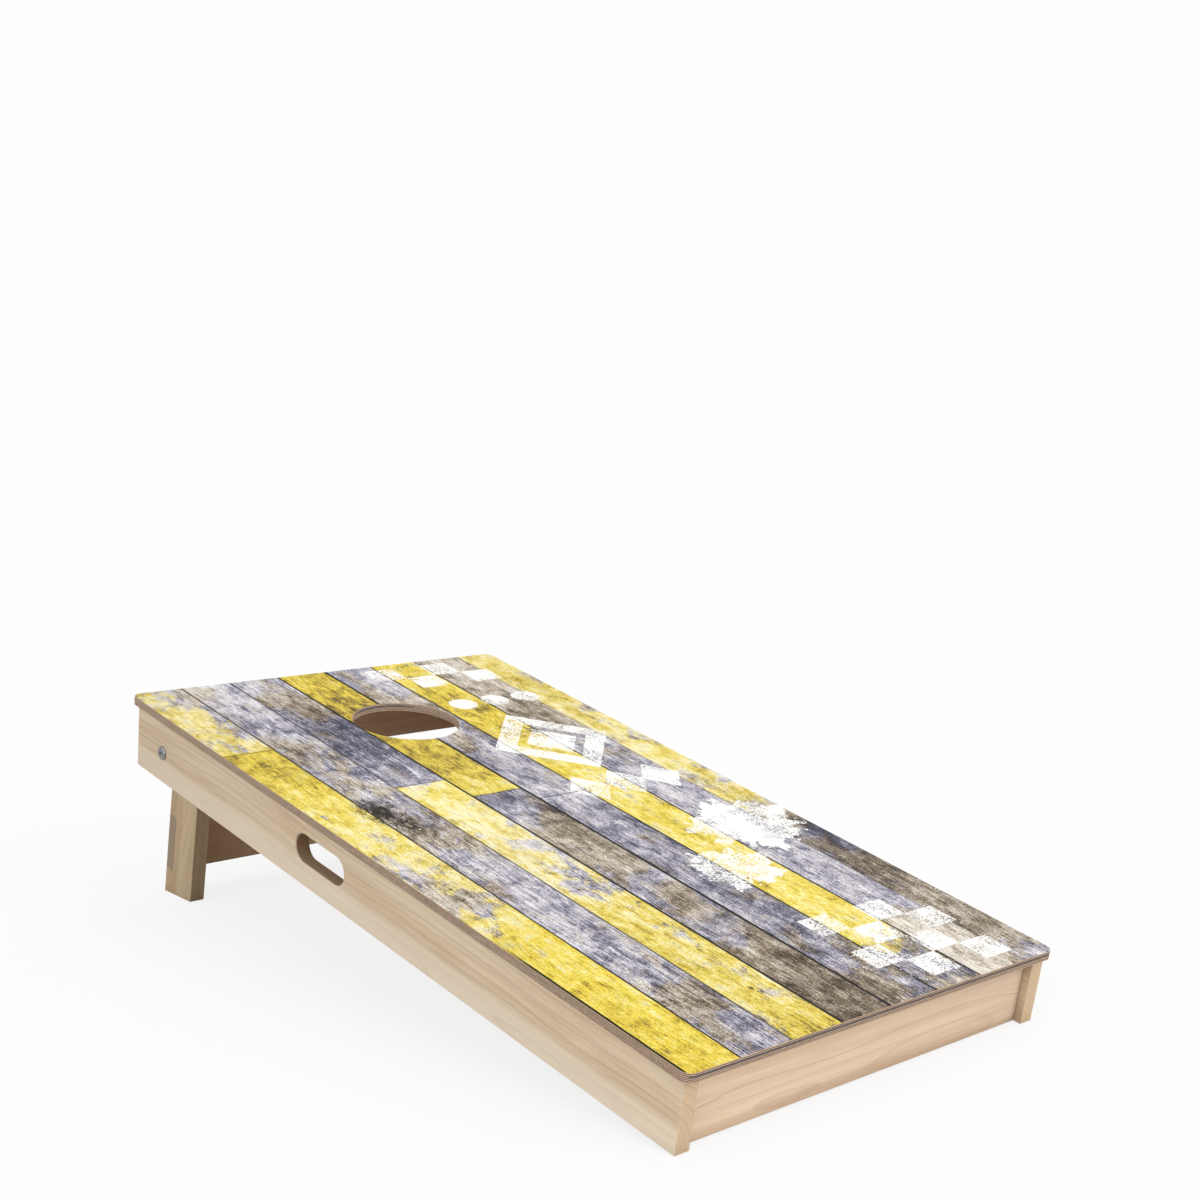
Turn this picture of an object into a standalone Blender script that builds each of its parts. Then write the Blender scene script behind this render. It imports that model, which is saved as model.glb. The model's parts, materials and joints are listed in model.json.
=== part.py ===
"""Cornhole board: a tilted plywood deck on a solid wood frame, with a folding leg frame at the hole end.

Units are metres and +Z is up. The board stands on the ground plane z = 0, centred on x = 0 and y = 0,
with the hole end towards +Y. Everything is laid out in the deck's own frame (u across, v from the front
edge to the hole end, w out of the playing surface) and tilted as one by the empty "deck_frame". The leg
frame hangs from the empty "leg_pivot", which sits on the fold axis. Left is -u and right is +u.
"""

import math

import bmesh
import bpy
from mathutils import Matrix, Vector

# ---------------------------------------------------------------- driving dimensions
GAP = 0.0003  # clearance between neighbouring pieces
BOARD_EASE = 0.0008

DECK_LENGTH = 1.2192
DECK_WIDTH = 0.6096
DECK_CORNER_RADIUS = 0.0127
DECK_CORNER_STEPS = 8
PRINT_THICKNESS = 0.0003
PRINT_INSET = 0.0004
PRINT_GAP = 0.0002
PLY_THICKNESS = 0.0115
HOLE_RADIUS = 0.0762
HOLE_FROM_BACK = 0.2286
HOLE_SEGMENTS = 96
BACK_TOP_HEIGHT = 0.3048

RAIL_HEIGHT = 0.092
RAIL_THICKNESS = 0.021
SIDE_OVERHANG = 0.006
FRONT_OVERHANG = 0.009
BACK_OVERHANG = 0.0113
END_RAIL_RECESS = 0.0116

PIVOT_V = 1.1343
PIVOT_W = -0.0600
LEG_GAP = 0.0165
LEG_WIDTH = 0.075
LEG_THICKNESS = 0.021
LEG_LEAN = math.radians(4.0)

WASHER_THICKNESS = 0.0012

# ---------------------------------------------------------------- derived places, in the deck's frame
PRINT_TOP = 0.0
PLY_TOP = -PRINT_THICKNESS - PRINT_GAP
PLY_BOTTOM = PLY_TOP - PLY_THICKNESS
HOLE_V = DECK_LENGTH - HOLE_FROM_BACK
RAIL_TOP = PLY_BOTTOM - GAP
RAIL_BOTTOM = PLY_BOTTOM - RAIL_HEIGHT
RAIL_OUTER_U = DECK_WIDTH / 2 - SIDE_OVERHANG
RAIL_INNER_U = RAIL_OUTER_U - RAIL_THICKNESS
RAIL_MIDDLE_U = (RAIL_INNER_U + RAIL_OUTER_U) / 2
RAIL_FRONT_V = FRONT_OVERHANG
RAIL_BACK_V = DECK_LENGTH - BACK_OVERHANG
FRONT_RAIL_V = (RAIL_FRONT_V + END_RAIL_RECESS, RAIL_FRONT_V + END_RAIL_RECESS + RAIL_THICKNESS)
BACK_RAIL_V = (RAIL_BACK_V - END_RAIL_RECESS - RAIL_THICKNESS, RAIL_BACK_V - END_RAIL_RECESS)
LEG_OUTER_U = RAIL_INNER_U - LEG_GAP
LEG_INNER_U = LEG_OUTER_U - LEG_THICKNESS
LEG_MIDDLE_U = (LEG_OUTER_U + LEG_INNER_U) / 2
BLOCK_INNER_U = LEG_OUTER_U + WASHER_THICKNESS + 2 * GAP

SIDES = ((-1, "left"), (1, "right"))
# Name, direction of its outer face along v, and (low, high) v of each end rail.
END_RAILS = (("front", -1, FRONT_RAIL_V), ("back", 1, BACK_RAIL_V))

# The tilt puts the deck's back top edge at its height, with the side rails' eased front corners
# on the ground.
GROUND_CORNER_V = RAIL_FRONT_V + BOARD_EASE
TILT_RUN = DECK_LENGTH - GROUND_CORNER_V
TILT_DROP = -RAIL_BOTTOM
TILT = (
    math.asin(BACK_TOP_HEIGHT / math.hypot(TILT_RUN, TILT_DROP))
    - math.atan2(TILT_DROP, TILT_RUN)
)
GROUND_TO_ORIGIN = -(GROUND_CORNER_V * math.sin(TILT) + RAIL_BOTTOM * math.cos(TILT))

# The pivot in (y, z) above the ground, before the board is centred.
PIVOT_Y = PIVOT_V * math.cos(TILT) - PIVOT_W * math.sin(TILT)
PIVOT_Z = PIVOT_V * math.sin(TILT) + PIVOT_W * math.cos(TILT) + GROUND_TO_ORIGIN

# The ground cuts the leg this far below the pivot on its centre line, and FOOT_RISE more or less
# at its edges.
LEG_SLOPE = TILT + LEG_LEAN
FOOT_CENTRE = PIVOT_Z / math.cos(LEG_SLOPE)
FOOT_RISE = LEG_WIDTH / 2 * math.tan(LEG_SLOPE)

# The board is centred between the deck's front top edge, at y = 0, and the leg's back corner.
BACK_EDGE_Y = PIVOT_Y + FOOT_CENTRE * math.sin(LEG_SLOPE) + LEG_WIDTH / 2 / math.cos(LEG_SLOPE)
CENTRE_Y = BACK_EDGE_Y / 2

# ---------------------------------------------------------------- scene
for old in list(bpy.data.objects):
    bpy.data.objects.remove(old, do_unlink=True)


def collection(name):
    made = bpy.data.collections.new(name)
    bpy.context.scene.collection.children.link(made)
    return made


def empty(name, location, tilt, parent=None):
    """An empty turned about its X axis."""
    obj = bpy.data.objects.new(name, None)
    obj.empty_display_size = 0.05
    parts.objects.link(obj)
    obj.parent = parent
    obj.location = location
    obj.rotation_euler = (tilt, 0, 0)
    return obj


parts = collection("cornhole_board")
cutters = collection("cutters")
deck_frame = empty("deck_frame", (0, -CENTRE_Y, GROUND_TO_ORIGIN), TILT)
leg_pivot = empty("leg_pivot", (0, PIVOT_V, PIVOT_W), LEG_LEAN, deck_frame)


# ---------------------------------------------------------------- materials
def material(name, colour, roughness, metallic=0.0):
    made = bpy.data.materials.new(name)
    made.use_nodes = True
    shader = made.node_tree.nodes["Principled BSDF"]
    shader.inputs["Base Color"].default_value = (*colour, 1)
    shader.inputs["Roughness"].default_value = roughness
    shader.inputs["Metallic"].default_value = metallic
    made.diffuse_color = (*colour, 1)
    return made


PLY = material("birch_plywood", colour=(0.50, 0.36, 0.24), roughness=0.6)
FILM = material("printed_film", colour=(0.62, 0.55, 0.28), roughness=0.45)
RAIL_WOOD = material("rail_wood", colour=(0.70, 0.56, 0.40), roughness=0.55)
LEG_WOOD = material("leg_wood", colour=(0.62, 0.48, 0.33), roughness=0.6)
BLOCK_WOOD = material("block_wood", colour=(0.60, 0.46, 0.31), roughness=0.65)
ZINC = material("zinc_steel", colour=(0.62, 0.63, 0.66), roughness=0.3, metallic=1.0)
SCREW_STEEL = material("screw_steel", colour=(0.45, 0.42, 0.36), roughness=0.35, metallic=1.0)


# ---------------------------------------------------------------- shared tools
def place(name, mesh, parent, location, mat=None, rotation=None):
    """Adds a mesh to the scene. One without a material is a cutter, hidden from renders."""
    obj = bpy.data.objects.new(name, mesh)
    obj.parent = parent
    obj.location = location
    if rotation is not None:
        obj.rotation_mode = "QUATERNION"
        obj.rotation_quaternion = rotation
    if mat is None:
        cutters.objects.link(obj)
        obj.hide_render = True
        obj.display_type = "WIRE"
    else:
        parts.objects.link(obj)
        mesh.materials.append(mat)
    return obj


def ease(obj):
    bevel = obj.modifiers.new("eased_edges", "BEVEL")
    bevel.width = BOARD_EASE
    bevel.segments = 1
    bevel.limit_method = "ANGLE"
    bevel.angle_limit = math.radians(40)
    bevel.use_clamp_overlap = True


def combine(obj, other, operation="DIFFERENCE"):
    boolean = obj.modifiers.new(f"{operation.lower()}_{other.name}", "BOOLEAN")
    boolean.operation = operation
    boolean.solver = "EXACT"
    boolean.object = other


def finish_mesh(name, shape):
    """Turns a bmesh into a new mesh and frees it."""
    mesh = bpy.data.meshes.new(name)
    shape.to_mesh(mesh)
    shape.free()
    return mesh


def box(name, low, high, mat):
    """A board in the deck's frame between two corners, with its origin at its centre and its edges eased."""
    low, high = Vector(low), Vector(high)
    shape = bmesh.new()
    bmesh.ops.create_cube(shape, size=1.0)
    bmesh.ops.scale(shape, vec=high - low, verts=shape.verts)
    obj = place(name, finish_mesh(name, shape), deck_frame, (low + high) / 2, mat)
    ease(obj)
    return obj


def arc(centre_x, centre_y, radius, start, end, steps, last=True):
    """Points along an arc, angles in degrees. The end point is left out unless last is set."""
    count = steps + 1 if last else steps
    angles = [math.radians(start + (end - start) * i / steps) for i in range(count)]
    return [
        (centre_x + radius * math.cos(angle), centre_y + radius * math.sin(angle))
        for angle in angles
    ]


def flat_solid(name, outlines, thickness):
    """The mesh of a flat outline with holes, extruded evenly about its own plane."""
    curve = bpy.data.curves.new(name, "CURVE")
    curve.dimensions = "2D"
    curve.fill_mode = "BOTH"
    curve.extrude = thickness / 2
    for outline in outlines:
        spline = curve.splines.new("POLY")
        spline.points.add(len(outline) - 1)
        for point, (x, y) in zip(spline.points, outline):
            point.co = (x, y, 0, 1)
        spline.use_cyclic_u = True
    holder = bpy.data.objects.new(name, curve)
    cutters.objects.link(holder)
    graph = bpy.context.evaluated_depsgraph_get()
    mesh = bpy.data.meshes.new_from_object(holder.evaluated_get(graph))
    bpy.data.objects.remove(holder, do_unlink=True)

    # The curve's caps and walls come unjoined, so weld them into one closed surface.
    shape = bmesh.new()
    shape.from_mesh(mesh)
    bmesh.ops.remove_doubles(shape, verts=shape.verts, dist=0.00001)
    bmesh.ops.recalc_face_normals(shape, faces=shape.faces)
    shape.to_mesh(mesh)
    shape.free()
    mesh.name = name
    return mesh


def standing_solid(name, outline, thickness):
    """A flat solid drawn in (v, w), with its thickness along u."""
    mesh = flat_solid(name, [outline], thickness)
    mesh.transform(Matrix(((0, 0, 1, 0), (1, 0, 0, 0), (0, 1, 0, 0), (0, 0, 0, 1))))
    return mesh


def aim(axis, direction):
    """The rotation that points a local axis along a direction."""
    return Vector(axis).rotation_difference(Vector(direction))


def turned(name, profile, steps, parent, location, direction, mat=None, closed=False):
    """A solid turned from (radius, height) points, with its -Z pointing along direction.

    A closed profile joins its last point to its first, which makes a ring.
    """
    shape = bmesh.new()
    points = [shape.verts.new((radius, 0, height)) for radius, height in profile]
    for first, second in zip(points, points[1:]):
        shape.edges.new((first, second))
    if closed:
        shape.edges.new((points[-1], points[0]))
    mesh = finish_mesh(name, shape)
    obj = place(name, mesh, parent, location, mat, aim((0, 0, -1), direction))
    screw = obj.modifiers.new("turn", "SCREW")
    screw.axis = "Z"
    screw.steps = screw.render_steps = steps
    screw.use_merge_vertices = True
    screw.merge_threshold = 0.00001
    screw.use_smooth_shade = True
    return obj


# ---------------------------------------------------------------- deck and printed film
def deck_sheet(name, inset, thickness, middle_w, mat):
    """A rounded sheet with the round hole, drawn in from the deck's edges by the inset."""
    radius = DECK_CORNER_RADIUS - inset
    side = DECK_WIDTH / 2 - inset - radius
    front, back = inset + radius, DECK_LENGTH - inset - radius
    edge = (
        arc(side, front, radius, -90, 0, DECK_CORNER_STEPS)
        + arc(side, back, radius, 0, 90, DECK_CORNER_STEPS)
        + arc(-side, back, radius, 90, 180, DECK_CORNER_STEPS)
        + arc(-side, front, radius, 180, 270, DECK_CORNER_STEPS)
    )
    hole = arc(0, HOLE_V, HOLE_RADIUS + inset, 360, 0, HOLE_SEGMENTS, last=False)
    return place(name, flat_solid(name, [edge, hole], thickness), deck_frame, (0, 0, middle_w), mat)


deck_panel = deck_sheet("deck_panel", 0, PLY_THICKNESS, (PLY_TOP + PLY_BOTTOM) / 2, PLY)
deck_sheet("deck_print", PRINT_INSET, PRINT_THICKNESS, PRINT_TOP - PRINT_THICKNESS / 2, FILM)

# ---------------------------------------------------------------- frame boards
side_rails = {}
for side, side_name in SIDES:
    near, far = sorted((side * RAIL_INNER_U, side * RAIL_OUTER_U))
    side_rails[side] = box(
        f"side_rail_{side_name}",
        (near, RAIL_FRONT_V, RAIL_BOTTOM),
        (far, RAIL_BACK_V, RAIL_TOP),
        RAIL_WOOD,
    )

end_rails = {}
for end, _, (low_v, high_v) in END_RAILS:
    end_rails[end] = box(
        f"{end}_rail",
        (-RAIL_INNER_U + GAP, low_v, RAIL_BOTTOM),
        (RAIL_INNER_U - GAP, high_v, RAIL_TOP),
        RAIL_WOOD,
    )

# ---------------------------------------------------------------- carry slots
SLOT_LENGTH = 0.1143
SLOT_HEIGHT = 0.0381
SLOT_ROUNDOVER = 0.0032
SLOT_ROUNDOVER_STEPS = 5
SLOT_END_STEPS = 14
SLOT_CENTRE_V = 0.718
SLOT_CENTRE_W = -0.0540
SLOT_CUTTER_OVERRUN = 0.004


def slot_ring(grow):
    """A stadium outline in (v, w) about the slot's centre, grown outwards."""
    radius = SLOT_HEIGHT / 2 + grow
    reach = SLOT_LENGTH / 2 - SLOT_HEIGHT / 2
    return (
        arc(reach, 0, radius, -90, 90, SLOT_END_STEPS)
        + arc(-reach, 0, radius, 90, 270, SLOT_END_STEPS)
    )


def slot_cutter(name):
    """A stadium plug whose two ends flare in a quarter round, which rounds over the slot's rims."""
    half = RAIL_THICKNESS / 2
    # Each station is (u from the rail's middle, growth of the outline).
    stations = [(-half - SLOT_CUTTER_OVERRUN, SLOT_ROUNDOVER)]
    for i in range(SLOT_ROUNDOVER_STEPS + 1):
        angle = math.radians(90 * i / SLOT_ROUNDOVER_STEPS)
        stations.append((
            -half + SLOT_ROUNDOVER * (1 - math.cos(angle)),
            SLOT_ROUNDOVER * (1 - math.sin(angle)),
        ))
    stations += [(-x, grow) for x, grow in reversed(stations)]

    shape = bmesh.new()
    rings = [[shape.verts.new((x, y, z)) for y, z in slot_ring(grow)] for x, grow in stations]
    for ring, following in zip(rings, rings[1:]):
        count = len(ring)
        for i in range(count):
            j = (i + 1) % count
            shape.faces.new((ring[i], ring[j], following[j], following[i]))
    shape.faces.new(rings[0])
    shape.faces.new(rings[-1])
    bmesh.ops.recalc_face_normals(shape, faces=shape.faces)
    return finish_mesh(name, shape)


slot_mesh = slot_cutter("slot_cutter")
for side, side_name in SIDES:
    slot_centre = (side * RAIL_MIDDLE_U, SLOT_CENTRE_V, SLOT_CENTRE_W)
    plug = place(f"slot_cutter_{side_name}", slot_mesh, deck_frame, slot_centre)
    combine(side_rails[side], plug)

# ---------------------------------------------------------------- pivot blocks
BLOCK_LENGTH = 0.060
BLOCK_HEIGHT = 0.074

blocks = {}
for side, side_name in SIDES:
    near, far = sorted((side * (RAIL_INNER_U - GAP), side * BLOCK_INNER_U))
    blocks[side] = box(
        f"pivot_block_{side_name}",
        (near, PIVOT_V - BLOCK_LENGTH / 2, RAIL_TOP - BLOCK_HEIGHT),
        (far, PIVOT_V + BLOCK_LENGTH / 2, RAIL_TOP),
        BLOCK_WOOD,
    )

# ---------------------------------------------------------------- legs and brace, in the leg pivot's frame
LEG_BACK = LEG_WIDTH / 2
LEG_FRONT = -LEG_WIDTH / 2
LEG_TOP_STEPS = 24
BRACE_HEIGHT = 0.088
BRACE_THICKNESS = 0.019
BRACE_ROUND = 0.005
BRACE_ROUND_STEPS = 6
NOTCH_ROUND_STEPS = 5
BRACE_TOP = -0.1185
BRACE_BOTTOM = BRACE_TOP - BRACE_HEIGHT
BRACE_FRONT = LEG_BACK - BRACE_THICKNESS


def leg_outline():
    """A leg with a round top, a foot cut level with the ground and a notch for the brace."""
    notch_low, notch_high = BRACE_BOTTOM - GAP, BRACE_TOP + GAP
    round_v = BRACE_FRONT - GAP + BRACE_ROUND
    return (
        arc(0, 0, LEG_WIDTH / 2, 0, 180, LEG_TOP_STEPS)
        + [
            (LEG_FRONT, -FOOT_CENTRE + FOOT_RISE),
            (LEG_BACK, -FOOT_CENTRE - FOOT_RISE),
            (LEG_BACK, notch_low),
        ]
        + arc(round_v, notch_low + BRACE_ROUND, BRACE_ROUND, 270, 180, NOTCH_ROUND_STEPS)
        + arc(round_v, notch_high - BRACE_ROUND, BRACE_ROUND, 180, 90, NOTCH_ROUND_STEPS)
        + [(LEG_BACK, notch_high)]
    )


def brace_outline():
    """The brace's section, with its two front corners rounded."""
    round_v = BRACE_FRONT + BRACE_ROUND
    return (
        [(LEG_BACK, BRACE_BOTTOM), (LEG_BACK, BRACE_TOP)]
        + arc(round_v, BRACE_TOP - BRACE_ROUND, BRACE_ROUND, 90, 180, BRACE_ROUND_STEPS)
        + arc(round_v, BRACE_BOTTOM + BRACE_ROUND, BRACE_ROUND, 180, 270, BRACE_ROUND_STEPS)
    )


legs = {}
for side, side_name in SIDES:
    leg_mesh = standing_solid("leg", leg_outline(), LEG_THICKNESS)
    leg_at = (side * LEG_MIDDLE_U, 0, 0)
    legs[side] = place(f"leg_{side_name}", leg_mesh, leg_pivot, leg_at, LEG_WOOD)
    ease(legs[side])

brace_mesh = standing_solid("leg_brace", brace_outline(), 2 * LEG_OUTER_U)
leg_brace = place("leg_brace", brace_mesh, leg_pivot, (0, 0, 0), LEG_WOOD)
ease(leg_brace)

# ---------------------------------------------------------------- pivot bolts and their holes
BOLT_STEPS = 32
BOLT_RADIUS = 0.004
BOLT_LENGTH = 0.0760
BOLT_TIP_CHAMFER = 0.0008
BOLT_HEAD_RADIUS = 0.0100
BOLT_HEAD_HEIGHT = 0.0034
BOLT_RIM_SHARE = 0.35  # share of the head's height taken by its straight rim
BOLT_DOME_SHARE = 0.65
BOLT_DOME_ANGLES = (0, 18, 34, 50, 64, 77, 90)  # degrees from the bolt's axis
SOCKET_RADIUS = 0.0030
SOCKET_DEPTH = 0.0020
BOLT_SEAT_U = RAIL_OUTER_U + GAP

BORE_STEPS = 24
BOLT_HOLE_RADIUS = 0.0044
BORE_START = 0.01  # outside the bolt's seat
BORE_DEPTH = 0.075

BOLT_PROFILE = [
    (
        BOLT_HEAD_RADIUS * math.sin(math.radians(angle)),
        BOLT_HEAD_HEIGHT * (BOLT_RIM_SHARE + BOLT_DOME_SHARE * math.cos(math.radians(angle))),
    )
    for angle in BOLT_DOME_ANGLES
] + [
    (BOLT_HEAD_RADIUS, 0),
    (BOLT_RADIUS, 0),
    (BOLT_RADIUS, -BOLT_LENGTH + BOLT_TIP_CHAMFER),
    (BOLT_RADIUS - BOLT_TIP_CHAMFER, -BOLT_LENGTH),
    (0, -BOLT_LENGTH),
]
BORE_PROFILE = [
    (0, BORE_START),
    (BOLT_HOLE_RADIUS, BORE_START),
    (BOLT_HOLE_RADIUS, -BORE_DEPTH),
    (0, -BORE_DEPTH),
]


def on_pivot(u_place):
    """A point of the fold axis, in the deck's frame."""
    return (u_place, PIVOT_V, PIVOT_W)


def pivot_bolt(side, side_name):
    """A domed bolt driven inwards through the side rail, with a hexagonal socket in its head."""
    bolt = turned(
        f"pivot_bolt_{side_name}", BOLT_PROFILE, BOLT_STEPS,
        deck_frame, on_pivot(side * BOLT_SEAT_U), (-side, 0, 0), ZINC,
    )
    shape = bmesh.new()
    bmesh.ops.create_cone(
        shape,
        cap_ends=True,
        segments=6,
        radius1=SOCKET_RADIUS,
        radius2=SOCKET_RADIUS,
        depth=SOCKET_DEPTH * 2,
    )
    socket_name = f"socket_cutter_{side_name}"
    socket = place(
        socket_name,
        finish_mesh(socket_name, shape),
        deck_frame,
        on_pivot(side * (BOLT_SEAT_U + BOLT_HEAD_HEIGHT)),
        rotation=aim((0, 0, 1), (side, 0, 0)),
    )
    combine(bolt, socket)


def bolt_hole(side, side_name):
    bore = turned(
        f"bolt_hole_cutter_{side_name}", BORE_PROFILE, BORE_STEPS,
        deck_frame, on_pivot(side * BOLT_SEAT_U), (-side, 0, 0),
    )
    for board in (side_rails[side], blocks[side], legs[side]):
        combine(board, bore)


# ---------------------------------------------------------------- washers and wing nuts
WASHER_STEPS = 24
WASHER_RADIUS = 0.0110
WASHER_PROFILE = [
    (WASHER_RADIUS, 0),
    (WASHER_RADIUS, -WASHER_THICKNESS),
    (BOLT_HOLE_RADIUS, -WASHER_THICKNESS),
    (BOLT_HOLE_RADIUS, 0),
]
# Name and outer face's distance from the centre plane.
WASHERS = (
    ("spacer_washer", LEG_OUTER_U + WASHER_THICKNESS + GAP),
    ("nut_washer", LEG_INNER_U - GAP),
)

NUT_STEPS = 24
NUT_BORE_RADIUS = 0.0043
NUT_HUB_RADIUS = 0.0078
NUT_HUB_HEIGHT = 0.0090
NUT_CHAMFER = 0.0009
NUT_U = LEG_INNER_U - 2 * GAP - WASHER_THICKNESS - NUT_HUB_HEIGHT
NUT_PROFILE = [
    (NUT_HUB_RADIUS - NUT_CHAMFER, 0),
    (NUT_HUB_RADIUS, -NUT_CHAMFER),
    (NUT_HUB_RADIUS, -NUT_HUB_HEIGHT + NUT_CHAMFER),
    (NUT_HUB_RADIUS - NUT_CHAMFER, -NUT_HUB_HEIGHT),
    (NUT_BORE_RADIUS, -NUT_HUB_HEIGHT),
    (NUT_BORE_RADIUS, 0),
]

WING_THICKNESS = 0.0030
WING_REACH = 0.0175
WING_LOBE_RADIUS = 0.0048
WING_LOBE_Z = 0.0062
WING_LOBE_STEPS = 10
WING_LOW_Z = -NUT_HUB_HEIGHT + 0.0012
WING_HIGH_Z = -0.0016
WING_ROOT_X = 0.0050  # inside the hub's wall
WING_LOW_X = 0.0098
WING_HIGH_X = 0.0064


def washers(side, side_name):
    for washer, face_u in WASHERS:
        turned(
            f"{washer}_{side_name}", WASHER_PROFILE, WASHER_STEPS,
            deck_frame, on_pivot(side * face_u), (-side, 0, 0), ZINC, closed=True,
        )


def wing_outline(wing):
    """One wing in the hub's (x, z) plane: it leaves the hub low, flares up and ends in a round lobe."""
    lobe_x = WING_REACH - WING_LOBE_RADIUS
    points = (
        [(WING_ROOT_X, WING_LOW_Z), (WING_LOW_X, WING_LOW_Z)]
        + arc(lobe_x, WING_LOBE_Z, WING_LOBE_RADIUS, -75, 150, WING_LOBE_STEPS)
        + [(WING_HIGH_X, WING_HIGH_Z), (WING_ROOT_X, WING_HIGH_Z)]
    )
    return [(wing * x, z) for x, z in points]


def wing_nut(side, side_name):
    """A hub joined to two wings. Its +Z end faces away from the leg, so its -Z points outwards."""
    outward = (side, 0, 0)
    nut_at = on_pivot(side * NUT_U)
    nut = turned(
        f"wing_nut_{side_name}", NUT_PROFILE, NUT_STEPS,
        deck_frame, nut_at, outward, ZINC, closed=True,
    )
    for wing, letter in ((-1, "a"), (1, "b")):
        wing_name = f"wing_{side_name}_{letter}"
        wing_mesh = flat_solid(wing_name, [wing_outline(wing)], WING_THICKNESS)
        wing_mesh.transform(Matrix.Rotation(math.radians(90), 4, "X"))
        turn = aim((0, 0, -1), outward)
        blade = place(wing_name, wing_mesh, deck_frame, nut_at, rotation=turn)
        combine(nut, blade, "UNION")


for side, side_name in SIDES:
    pivot_bolt(side, side_name)
    bolt_hole(side, side_name)
    washers(side, side_name)
    wing_nut(side, side_name)

# ---------------------------------------------------------------- screws
SCREW_STEPS = 12
SCREW_RADIUS = 0.0020
SCREW_HOLE_RADIUS = SCREW_RADIUS + GAP
SCREW_TIP_LENGTH = 0.005
SCREW_HEAD_RADIUS = 0.0042
RECESS_DEPTH = 0.0016
RECESS_FLOOR_RADIUS = 0.0013
RECESS_RIM_RADIUS = 0.0017

PAN_HEAD_HEIGHT = 0.0022
PAN_TOP_INSET = 0.0008
PAN_TOP_DROP = 0.0009
POCKET_RADIUS = 0.0048
POCKET_LENGTH = 0.034
POCKET_ANGLE = math.radians(15.0)
POCKET_SETBACK = 0.016  # from the head's seat to the joint
SLANT, ALONG = math.sin(POCKET_ANGLE), math.cos(POCKET_ANGLE)

COUNTERSUNK_RIM = 0.0006
COUNTERSUNK_DEPTH = 0.0028
COUNTERSUNK_HOLE_START = 0.002  # outside the board's face

CORNER_SCREW_LEVELS = (("upper", -0.034), ("lower", -0.082))  # w at the joint
CORNER_SCREW_BITE = 0.014  # length past the joint
DECK_SCREW_V = (0.20, 0.52, 0.90)
DECK_SCREW_BITE = 0.008
BLOCK_SCREW_LENGTH = 0.030
# Name, and v and w from the pivot.
BLOCK_SCREWS = (("front", -0.020, 0.018), ("back", 0.020, -0.014))
BRACE_SCREW_LENGTH = 0.040
BRACE_SCREW_INSET = 0.022
BRACE_SCREW_DROPS = (("upper", BRACE_SCREW_INSET), ("lower", BRACE_HEIGHT - BRACE_SCREW_INSET))


def fasten(name, screw, hole, seat, direction, boards, parent):
    """A screw seated at a point and driven along direction, and its hole in each board it crosses."""
    turned(name, screw, SCREW_STEPS, parent, seat, direction, SCREW_STEEL)
    cutter = turned(f"{name}_cutter", hole, SCREW_STEPS, parent, seat, direction)
    for board in boards:
        combine(board, cutter)


def pocket_screw(name, joint, heading, bite, boards):
    """A pan-head screw in a slanted pocket, crossing a joint. Height 0 is the head's underside."""
    length = POCKET_SETBACK + bite
    screw = [
        (0, PAN_HEAD_HEIGHT - RECESS_DEPTH),
        (RECESS_FLOOR_RADIUS, PAN_HEAD_HEIGHT - RECESS_DEPTH),
        (RECESS_RIM_RADIUS, PAN_HEAD_HEIGHT),
        (SCREW_HEAD_RADIUS - PAN_TOP_INSET, PAN_HEAD_HEIGHT),
        (SCREW_HEAD_RADIUS, PAN_HEAD_HEIGHT - PAN_TOP_DROP),
        (SCREW_HEAD_RADIUS, 0),
        (SCREW_RADIUS, 0),
        (SCREW_RADIUS, -length + SCREW_TIP_LENGTH),
        (0, -length),
    ]
    hole = [
        (0, POCKET_LENGTH),
        (POCKET_RADIUS, POCKET_LENGTH),
        (POCKET_RADIUS, -GAP),
        (SCREW_HOLE_RADIUS, -GAP),
        (SCREW_HOLE_RADIUS, -length - GAP),
        (0, -length - GAP),
    ]
    fasten(name, screw, hole, joint - heading * POCKET_SETBACK, heading, boards, deck_frame)


def countersunk_screw(name, seat, direction, length, boards, parent):
    """A screw with its head flush with the board's face. Height 0 is the head's top."""
    screw = [
        (0, -RECESS_DEPTH),
        (RECESS_FLOOR_RADIUS, -RECESS_DEPTH),
        (RECESS_RIM_RADIUS, 0),
        (SCREW_HEAD_RADIUS, 0),
        (SCREW_HEAD_RADIUS, -COUNTERSUNK_RIM),
        (SCREW_RADIUS, -COUNTERSUNK_DEPTH),
        (SCREW_RADIUS, -length + SCREW_TIP_LENGTH),
        (0, -length),
    ]
    hole = [
        (0, COUNTERSUNK_HOLE_START),
        (SCREW_HEAD_RADIUS + GAP, COUNTERSUNK_HOLE_START),
        (SCREW_HEAD_RADIUS + GAP, -COUNTERSUNK_RIM - GAP),
        (SCREW_HOLE_RADIUS, -COUNTERSUNK_DEPTH - GAP),
        (SCREW_HOLE_RADIUS, -length - GAP),
        (0, -length - GAP),
    ]
    fasten(name, screw, hole, seat, direction, boards, parent)


# Pocket screws that pull the end rails to the side rails.
for end, outward, rail_v in END_RAILS:
    for side, side_name in SIDES:
        heading = Vector((side * ALONG, outward * SLANT, 0))
        for level, joint_w in CORNER_SCREW_LEVELS:
            pocket_screw(
                f"corner_screw_{end}_{side_name}_{level}",
                Vector((side * RAIL_INNER_U, sum(rail_v) / 2, joint_w)),
                heading,
                CORNER_SCREW_BITE,
                (end_rails[end], side_rails[side]),
            )

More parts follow.
